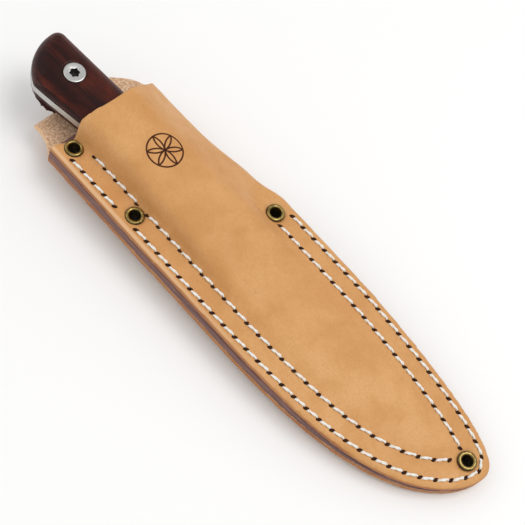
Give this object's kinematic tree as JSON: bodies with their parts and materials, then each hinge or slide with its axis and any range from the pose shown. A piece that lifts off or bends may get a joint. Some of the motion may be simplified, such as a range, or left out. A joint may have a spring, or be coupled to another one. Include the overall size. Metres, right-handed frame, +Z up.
{
  "type": "sheath knife",
  "caption": "Full-tang belt knife with dark wood scales in a folded, double-stitched tan leather pouch sheath with brass eyelets and a belt loop.",
  "frame": {"origin": "on the table, under the middle of the object's box", "axes": "+X from the handle's butt to the sheath's tip, +Y towards the folded edge, +Z up out of the sheath's front"},
  "size_m": [0.2158, 0.054, 0.0326],
  "materials": {
    "tan_leather": "natural vegetable-tanned grain, satin",
    "dyed_welt": "dyed and burnished edge",
    "waxed_thread": "waxed twisted thread",
    "aged_brass": "antique brass",
    "satin_steel": "satin",
    "dark_wood": "oiled and polished",
    "screw_steel": "turned stainless"
  },
  "bodies": {
    "sheath": {"folded_leather_body": "tan_leather", "welt": "dyed_welt", "outer_row_thread": "waxed_thread", "inner_belly_row_thread": "waxed_thread", "inner_upper_row_thread": "waxed_thread", "belt_loop_thread": "waxed_thread", "eyelet_washers": "aged_brass", "mouth_eyelet": "aged_brass", "belly_eyelet": "aged_brass", "fold_eyelet": "aged_brass", "tip_eyelet": "aged_brass"},
    "knife": {"blade_and_tang": "satin_steel", "front_scale": "dark_wood", "back_scale": "dark_wood", "handle_screws": "screw_steel", "handle_barrel_nuts": "screw_steel"}
  },
  "joints": [
    {"name": "knife_draw", "type": "slide", "parent": "sheath", "child": "knife", "axis": [-0.9956, 0, 0.0941], "range_m": [0, 0.205]}
  ]
}
